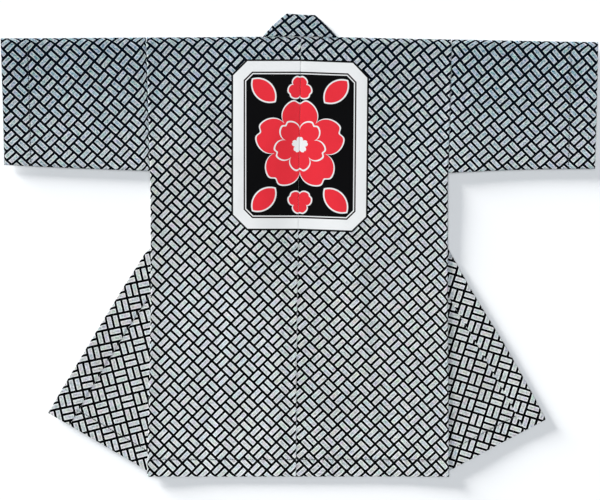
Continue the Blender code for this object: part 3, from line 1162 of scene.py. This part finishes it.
def add_node(tree: bpy.types.NodeTree, kind: str, inputs: dict, **settings) -> bpy.types.Node:
    """Adds a node with its settings, and feeds its inputs.

    Args:
        tree: the material's tree.
        kind: the node's type, without the words that all have in front.
        inputs: what each input gets, by the input's name or number.
        settings: properties to set on it.

    Returns:
        The node.
    """
    node = tree.nodes.new("ShaderNode" + kind)
    for name, value in settings.items():
        setattr(node, name, value)
    feed(node, inputs)
    return node


@dataclass(frozen=True)
class Field:
    """A number that varies over the cloth, held as a node's socket."""

    socket: bpy.types.NodeSocket

    def do(self, operation: str, *others) -> "Field":
        """Works out another number from this one and others, by a maths node's operation."""
        inputs = dict(enumerate((self, *others)))
        node = add_node(self.socket.id_data, "Math", inputs, operation=operation)
        return Field(node.outputs[0])

    def __add__(self, other) -> "Field":
        """The sum."""
        return self.do("ADD", other)

    def __sub__(self, other) -> "Field":
        """The difference."""
        return self.do("SUBTRACT", other)

    def __mul__(self, other) -> "Field":
        """The product."""
        return self.do("MULTIPLY", other)

    def __abs__(self) -> "Field":
        """The size without the sign."""
        return self.do("ABSOLUTE")

    def ease(self, low: float, high: float, first: float = 0.0, last: float = 1.0) -> "Field":
        """Eases from first to last as this number goes from low to high."""
        inputs = {"Value": self, "From Min": low, "From Max": high, "To Min": first, "To Max": last}
        tree = self.socket.id_data
        node = add_node(tree, "MapRange", inputs, interpolation_type="SMOOTHSTEP")
        return Field(node.outputs["Result"])

    def mix(self, under, over) -> bpy.types.NodeSocket:
        """Mixes two colours, by this number's share of the second."""
        tree, inputs = self.socket.id_data, {0: self, 6: under, 7: over}
        return add_node(tree, "Mix", inputs, data_type="RGBA", clamp_factor=False).outputs[2]

    def ink(self, edge: Pair, under, over) -> bpy.types.NodeSocket:
        """Prints a colour where this distance is small, fading over the edge."""
        return self.ease(*edge, 1.0, 0.0).mix(under, over)


def cloth_place(tree: bpy.types.NodeTree) -> bpy.types.NodeSocket:
    """The place on the coat, in world metres."""
    return add_node(tree, "TexCoord", {}).outputs["Object"]


def split(tree: bpy.types.NodeTree, place: bpy.types.NodeSocket) -> tuple[Field, Field]:
    """The X and Y of a place."""
    parts = add_node(tree, "SeparateXYZ", {0: place})
    return Field(parts.outputs["X"]), Field(parts.outputs["Y"])


def new_finish(name: str, **inputs) -> tuple[bpy.types.Material, bpy.types.Node]:
    """Starts a material that isn't metal, and sets inputs of its surface."""
    material = bpy.data.materials.new(name)
    material.use_nodes = True
    shader = material.node_tree.nodes["Principled BSDF"]
    feed(shader, {"Metallic": 0.0, "IOR": 1.5, **inputs})
    return material, shader


@dataclass(frozen=True)
class PrintedCotton:
    """Plain-woven cotton, printed with a basket weave of paired bars in black outline.

    Bars run in pairs, one pair across and one pair up, two bars to a cell of 26.9 mm with an
    outline of about 4 mm. Woven cotton scatters light evenly, so it has no shine of its own.
    Painted shade darkens or lightens the bars: the back's two halves differ, in bands down the
    cloth, each given as a height in metres and how much darker than usual the bars are there.
    """

    bar_low: str = "#b3b6b5"
    bar_high: str = "#8f9fa6"
    bar_pale: str = "#cbd2d7"
    bar_rim: str = "#ffffff"
    outline: str = "#010203"
    outline_high: str = "#000812"
    reverse_bar: str = "#c9cfd1"
    reverse_line: str = "#5c636b"
    half_line: float = 0.095
    soft_edge: float = 0.012
    strike_through: float = 0.03
    thicker: float = 0.009
    rim_to: Triple = (0.17, 0.62, 0.0)
    darker_from: float = -0.17
    darker_over: float = 0.56
    darker_power: float = 1.7
    darker_side: Values = (0.22, 0.42, 0.0, 0.24)
    # Painted shade: bands down the left and the right half of the back, a height and how much
    # darker
    bands: tuple[tuple[Pair, ...], tuple[Pair, ...]] = (
        (
            (0.36, -0.05), (0.27, -0.07), (0.215, -0.17), (0.165, -0.40), (0.06, -0.49),
            (0.01, -0.33), (-0.085, -0.31), (-0.105, -0.51), (-0.24, -0.47), (-0.33, -0.32),
            (-0.42, -0.30), (-0.46, -0.39),
        ),
        (
            (0.36, -0.23), (0.31, -0.24), (0.27, -0.08), (0.23, 0.05), (0.16, 0.16), (0.11, 0.16),
            (0.06, 0.09), (0.0, 0.26), (-0.085, 0.23), (-0.100, 0.03), (-0.12, 0.03),
            (-0.14, 0.17), (-0.25, 0.19), (-0.33, 0.24), (-0.46, 0.17),
        ),
    )
    # Where across the back the painted shade eases from the left half's bands to the right's, in
    # metres
    painted_shade_shift_x: Values = (-0.055, -0.035)
    back_ends: Values = (0.300, 0.320, 1.0, 0.0)
    beside_back: Values = (0.05, -0.05, -0.03, -0.16)
    shoulder_strip: tuple[Values, Values] = ((0.355, 0.385), (0.430, 0.412, 0.0, -0.13))
    # What a share is multiplied by, and what is then added
    bars_differ: Pair = (0.14, -0.07)
    rim_fades: Pair = (-0.15, 1.0)
    ink_bleeds: Pair = (0.03, -0.015)
    slub_specks: Pair = (1.5, -0.76)
    # Scale per metre and detail
    ink_grain: Pair = (240.0, 2.0)
    slub_grain: Pair = (300.0, 3.0)
    dye_grain: Pair = (95.0, 2.0)
    dye_share: float = 0.28
    yarn_apart: float = 1.6
    yarn_height: float = 0.04
    roughness: float = 0.88
    shine: float = 0.03

    @staticmethod
    def lattice(tree: bpy.types.NodeTree) -> tuple[Field, Field]:
        """Works out the distance to the nearest outline.

        Args:
            tree: the material's tree.

        Returns:
            That distance in cells, and which way the bars run.
        """
        place = add_node(tree, "UVMap", {}, uv_map="print").outputs["UV"]
        scaled = {0: place, "Scale": 1.0 / (PRINT_CELL * MM)}
        a, b = split(tree, add_node(tree, "VectorMath", scaled, operation="SCALE").outputs[0])
        near_a, near_b = a.do("PINGPONG", 0.5), b.do("PINGPONG", 0.5)
        odd = (a.do("FLOOR") + b.do("FLOOR")).do("PINGPONG", 1.0)
        middle = (near_b - near_a) * odd + near_b.do("MULTIPLY_ADD", -1.0, 0.5)
        return near_a.do("MINIMUM", near_b).do("MINIMUM", middle), odd

    @staticmethod
    def grain(tree: bpy.types.NodeTree, place: bpy.types.NodeSocket, size: Pair) -> bpy.types.Node:
        """Adds even noise, sized by its scale per metre and its detail."""
        return add_node(tree, "TexNoise", {"Vector": place, "Scale": size[0], "Detail": size[1]})

    def tone(self, tree: bpy.types.NodeTree) -> bpy.types.NodeSocket:
        """Colours the bars and their outline.

        Args:
            tree: the material's tree.

        Returns:
            The colour.
        """
        far, odd = self.lattice(tree)
        place = cloth_place(tree)
        x, y = split(tree, place)
        high = (y - self.darker_from) * (1.0 / self.darker_over)
        high = high.do("MAXIMUM", 0.0).do("POWER", self.darker_power)
        ink = Field(self.grain(tree, place, self.ink_grain).outputs[0])
        rough = high.do("MULTIPLY_ADD", -self.thicker, ink.do("MULTIPLY_ADD", *self.ink_bleeds))
        soft = self.soft_edge
        line = (far + rough).ease(self.half_line - soft, self.half_line + soft, 1.0, 0.0)
        share = high + abs(x).ease(*self.darker_side) + odd.do("MULTIPLY_ADD", *self.bars_differ)
        # Painted shade in bands down each half of the back, and lighter tones on the sleeves, the
        # fronts and just below the shoulder line
        share = share + self.painted_shade_and_tone(x, y)
        slub = Field(self.grain(tree, place, self.slub_grain).outputs[0])
        rim = far.ease(self.half_line + 0.01, *self.rim_to)
        rim = rim * high.do("MULTIPLY_ADD", *self.rim_fades)
        rim = rim + slub.do("MULTIPLY_ADD", *self.slub_specks)
        bar = share.do("MAXIMUM", 0.0).mix(self.bar_low, self.bar_high)
        bar = (share * -1.0).do("MAXIMUM", 0.0).mix(bar, self.bar_pale)
        dye = self.grain(tree, place, self.dye_grain).outputs["Color"]
        inputs = {0: self.dye_share, 6: rim.mix(bar, self.bar_rim), 7: dye}
        bar = add_node(tree, "Mix", inputs, data_type="RGBA", blend_type="OVERLAY").outputs[2]
        return line.mix(bar, high.mix(self.outline, self.outline_high))

    def painted_shade_and_tone(self, x: Field, y: Field) -> Field:
        """Finds the painted shade on the bars, how much darker than usual, at a place in world
        metres.

        Args:
            x: the place's X.
            y: the place's Y.

        Returns:
            What to add to the share of the darker bar colour.
        """
        left, right = (self.in_bands(y, bands) for bands in self.bands)
        half = (right - left) * x.ease(*self.painted_shade_shift_x) + left
        away = y.ease(*self.beside_back)
        strip, strip_top = (y.ease(*values) for values in self.shoulder_strip)
        return (half - away) * abs(x).ease(*self.back_ends) + away + strip * strip_top

    @staticmethod
    def in_bands(height: Field, bands: tuple[Pair, ...]) -> Field:
        """Eases from one band's value to the next, down the cloth.

        Args:
            height: height on the cloth, in metres.
            bands: pairs of a height and the value there, from the top down.

        Returns:
            The value at each height.
        """
        total = height.do("MULTIPLY_ADD", 0.0, bands[0][1])
        for (above, first), (below, last) in zip(bands, bands[1:]):
            total = total + height.ease(above, below, 0.0, last - first)
        return total

    def cotton(self, name: str) -> tuple[bpy.types.Material, bpy.types.Node]:
        """Starts a material with cotton's own surface and threads.

        The yarns are 0.5 mm apart; they are drawn 1.6 mm apart, so that they don't break up
        into a false pattern at this size.

        Args:
            name: name of the material.

        Returns:
            The material and its surface.
        """
        surface = {"Roughness": self.roughness, "Specular IOR Level": self.shine}
        material, shader = new_finish(name, **surface)
        tree, turn = material.node_tree, 2 * math.pi / (self.yarn_apart * MM)
        warp, weft = ((way * turn).do("SINE") for way in split(tree, cloth_place(tree)))
        bump = {"Height": warp * weft, "Distance": self.yarn_height * MM}
        feed(shader, {"Normal": add_node(tree, "Bump", bump).outputs["Normal"]})
        return material, shader

    def face(self, name: str) -> bpy.types.Material:
        """Makes the printed face."""
        material, shader = self.cotton(name)
        feed(shader, {"Base Color": self.tone(material.node_tree)})
        return material

    def reverse(self, name: str) -> bpy.types.Material:
        """Makes the reverse, where the print strikes through faintly."""
        material, shader = self.cotton(name)
        far, _ = self.lattice(material.node_tree)
        edge = (self.half_line - self.strike_through, self.half_line + self.strike_through)
        feed(shader, {"Base Color": far.ink(edge, self.reverse_bar, self.reverse_line)})
        return material


@dataclass(frozen=True)
class SewingThread:
    """Spun polyester sewing thread, dark navy: matt, with a faint glint along the twist."""

    colour: str = "#0c0f14"
    roughness: float = 0.7
    twists: float = 700.0
    twist_height: float = 0.05

    def make(self, name: str) -> bpy.types.Material:
        """Makes the finish, with the thread's twist in its surface."""
        material, shader = new_finish(name, Roughness=self.roughness)
        tree = material.node_tree
        wave = {"Vector": cloth_place(tree), "Scale": self.twists}
        twist = add_node(tree, "TexWave", wave, bands_direction="DIAGONAL").outputs["Fac"]
        bump = add_node(tree, "Bump", {"Height": twist, "Distance": self.twist_height * MM})
        feed(shader, {"Base Color": self.colour, "Normal": bump.outputs["Normal"]})
        return material


@dataclass(frozen=True)
class BackPanel(PrintedCotton):
    """The same cotton, with a framed panel printed across the centre seam.

    White border with cut corners, a fine dark frame, and a black field with one large
    five-petalled blossom, four leaves and two buds in red, each edged in white. A rectangle is
    half its width, half its height, and how much each corner is cut by. A flower is how far its
    petals reach, how many there are, and the angle of the first. A petal is how round it is, and
    its share of the radius beyond the share that all of the flower fills.
    """

    x: float = -0.7
    y: float = 204.8
    white: str = "#dededd"
    black: str = "#0a0a0b"
    red: str = "#da2f3a"
    frame_line: str = "#1c1212"
    fall: float = 0.036
    lean: float = 0.0095
    border: Triple = (137.0, 172.0, 29.4)
    frame: Triple = (113.9, 148.9, 16.6)
    black_field: Triple = (110.2, 145.2, 14.4)
    crisp: Pair = (-0.5, 0.5)
    border_outline: Pair = (3.3, 4.3)
    border_edge: Pair = (-0.6, 0.6)
    frame_width: Pair = (1.3, 1.8)
    motif_rim: Pair = (2.4, 3.4)
    ring_width: Pair = (1.2, 2.2)
    petal: Triple = (0.55, 0.42, 0.58)
    petal_notch: Pair = (40.0, -0.09)
    bloom: Triple = (92.0, 5, 90.0)
    ring: Triple = (54.0, 5, 126.0)
    heart: Triple = (17.0, 5, 90.0)
    bud: Triple = (24.0, 3, 90.0)
    corner: Pair = (74.0, 112.0)
    bud_up: float = 4.0
    leaf_bow: float = 18.0
    leaf_reach: float = 36.0

    def panel_place(self, tree: bpy.types.NodeTree) -> tuple[Field, Field]:
        """Millimetres across and up from the panel's middle, whose right half hangs askew."""
        x, y = split(tree, cloth_place(tree))
        across, up = x.do("MULTIPLY_ADD", 1 / MM, -self.x), y.do("MULTIPLY_ADD", 1 / MM, -self.y)
        right = across.do("MAXIMUM", 0.0)
        leaning = right * (-self.lean / self.border[0])
        return up.do("MULTIPLY_ADD", leaning, across), right.do("MULTIPLY_ADD", self.fall, up)

    @staticmethod
    def cut_rectangle(across: Field, up: Field, size: Triple) -> Field:
        """Distance outside a rectangle with cut corners, in millimetres."""
        wide, high, cut = size
        a, b = abs(across), abs(up)
        slope = (a + b - (wide + high - cut)) * math.sqrt(0.5)
        return (a - wide).do("MAXIMUM", b - high).do("MAXIMUM", slope)

    def blossom(self, across: Field, up: Field, size: Triple) -> Field:
        """Distance outside a flower with round petals, along the radius, in millimetres."""
        radius, petals, turn = size
        angle = (up.do("ARCTAN2", across) + math.radians(-turn)) * (petals / 2)
        wave = abs(angle.do("COSINE"))
        edge = wave.do("POWER", self.petal[0]).do("MULTIPLY_ADD", *self.petal[1:])
        edge = (edge + wave.do("POWER", self.petal_notch[0]) * self.petal_notch[1]) * radius
        return (across * across + up * up).do("SQRT") - edge

    def leaf(self, across: Field, up: Field) -> Field:
        """Distance outside a pointed leaf that leans outwards."""
        along, beside = (across + up) * math.sqrt(0.5), abs((across - up) * math.sqrt(0.5))
        round_by = along * along + (beside + self.leaf_bow).do("POWER", 2.0)
        return round_by.do("SQRT") - self.leaf_reach

    def face(self, name: str) -> bpy.types.Material:
        """Makes the printed face with the panel."""
        material, shader = self.cotton(name)
        tree = material.node_tree
        colour, (across, up) = self.tone(tree), self.panel_place(tree)
        border, frame_edge, inside = (
            self.cut_rectangle(across, up, size)
            for size in (self.border, self.frame, self.black_field)
        )
        colour = border.ink(self.border_outline, colour, self.black)
        colour = border.ink(self.border_edge, colour, self.white)
        colour = abs(frame_edge).ink(self.frame_width, colour, self.frame_line)
        colour = inside.ink(self.crisp, colour, self.black)
        feed(shader, {"Base Color": self.motifs(across, up, colour)})
        return material

    def motifs(self, across: Field, up: Field, colour) -> bpy.types.NodeSocket:
        """Prints the flowers and leaves over the black field.

        Args:
            across: millimetres across from the panel's middle.
            up: millimetres up from it.
            colour: the colour so far.

        Returns:
            The colour with them.
        """
        a, b = abs(across) - self.corner[0], abs(up) - self.corner[1]
        shapes = [self.blossom(across, up, self.bloom), self.leaf(a, b)]
        shapes.append(self.blossom(across, b - self.bud_up, self.bud))
        for shape in shapes:
            colour = shape.ink(self.motif_rim, colour, self.white)
            colour = shape.ink(self.crisp, colour, self.red)
        ring = abs(self.blossom(across, up, self.ring))
        colour = ring.ink(self.ring_width, colour, self.white)
        return self.blossom(across, up, self.heart).ink(self.crisp, colour, self.white)


@dataclass(frozen=True)
class TableTop:
    """Matt white board under the coat."""

    colour: str = "#f4f4f4"
    size: float = 8.0
    roughness: float = 0.95
    shine: float = 0.1

    def build(self) -> bpy.types.Object:
        """Lays the board, with its face at the height that the coat rests on."""
        mesh = bpy.data.meshes.new("table_top")
        half = self.size / 2
        corners = [(-half, -half, 0.0), (half, -half, 0.0), (half, half, 0.0), (-half, half, 0.0)]
        mesh.from_pydata(corners, [], [(0, 1, 2, 3)])
        surface = {"Base Color": self.colour, "Specular IOR Level": self.shine}
        mesh.materials.append(new_finish("white_board", Roughness=self.roughness, **surface)[0])
        made = add_object("table_top", mesh)
        return made


@dataclass(frozen=True)
class Studio:
    """Soft light from the upper left over an even white fill, and a camera straight above."""

    key_from: float = 140.0
    key_height: float = 11.0
    key_angle: float = 19.0
    key_strength: float = 7.7
    key_colour: str = "#ffffff"
    top_angle: float = 36.0
    top_strength: float = 1.95
    fill: float = 0.13
    fill_colour: str = "#f2f7fc"
    camera_height: float = 6.0
    view_width: float = 1.233
    view_x: float = -0.0004
    view_y: float = -0.0111

    def lamp(self, name: str, strength: float, angle: float, height: float, colour: str) -> None:
        """Hangs a wide lamp on the key's side.

        Args:
            name: name of the lamp.
            strength: its strength.
            angle: how wide it looks from the table, in degrees.
            height: how high it stands over the table, in degrees.
            colour: its light's sRGB hex colour.
        """
        light = bpy.data.lights.new(name, "SUN")
        light.energy = strength
        light.angle = math.radians(angle)
        light.color = hex_to_linear(colour)[:3]
        turn = (0.0, math.radians(90.0 - height), math.radians(self.key_from))
        add_object(name, light).rotation_euler = turn

    def build(self) -> None:
        """Sets up the light and the camera."""
        scene = bpy.context.scene
        scene.world = bpy.data.worlds.new("studio")
        scene.world.use_nodes = True
        background = scene.world.node_tree.nodes["Background"]
        feed(background, {"Color": self.fill_colour, "Strength": self.fill})
        key, top = (self.key_strength, self.key_angle), (self.top_strength, self.top_angle)
        self.lamp("key", *key, self.key_height, self.key_colour)
        self.lamp("top", *top, 90.0, self.fill_colour)
        camera = bpy.data.cameras.new("camera")
        camera.lens = camera.sensor_width * self.camera_height / self.view_width
        scene.camera = add_object("camera", camera)
        scene.camera.location = (self.view_x, self.view_y, self.camera_height)
        scene.view_settings.view_transform = "Standard"


def main() -> None:
    """Builds the coat piece by piece, then its table, light and camera."""
    logging.basicConfig(level=logging.INFO, format="%(message)s")
    cotton = PrintedCotton()
    plain, reverse = cotton.face("printed_cotton"), cotton.reverse("cotton_reverse")
    with_panel = BackPanel().face("printed_cotton_panel")
    bodies = [BodyLength(side, [plain, with_panel, reverse, reverse]) for side in Side]
    sleeves = [Sleeve(side, [plain, plain, reverse, reverse]) for side in Side]
    collar = CollarBand([plain, reverse])
    stitching = HemStitching(bodies, sleeves, SewingThread().make("navy_thread"))
    for part in (*bodies, *sleeves, collar, stitching):
        made = part.build()
        log.info("%s: %d faces", made.name, len(made.data.polygons))
    TableTop().build()
    Studio().build()


if __name__ == "__main__":
    main()
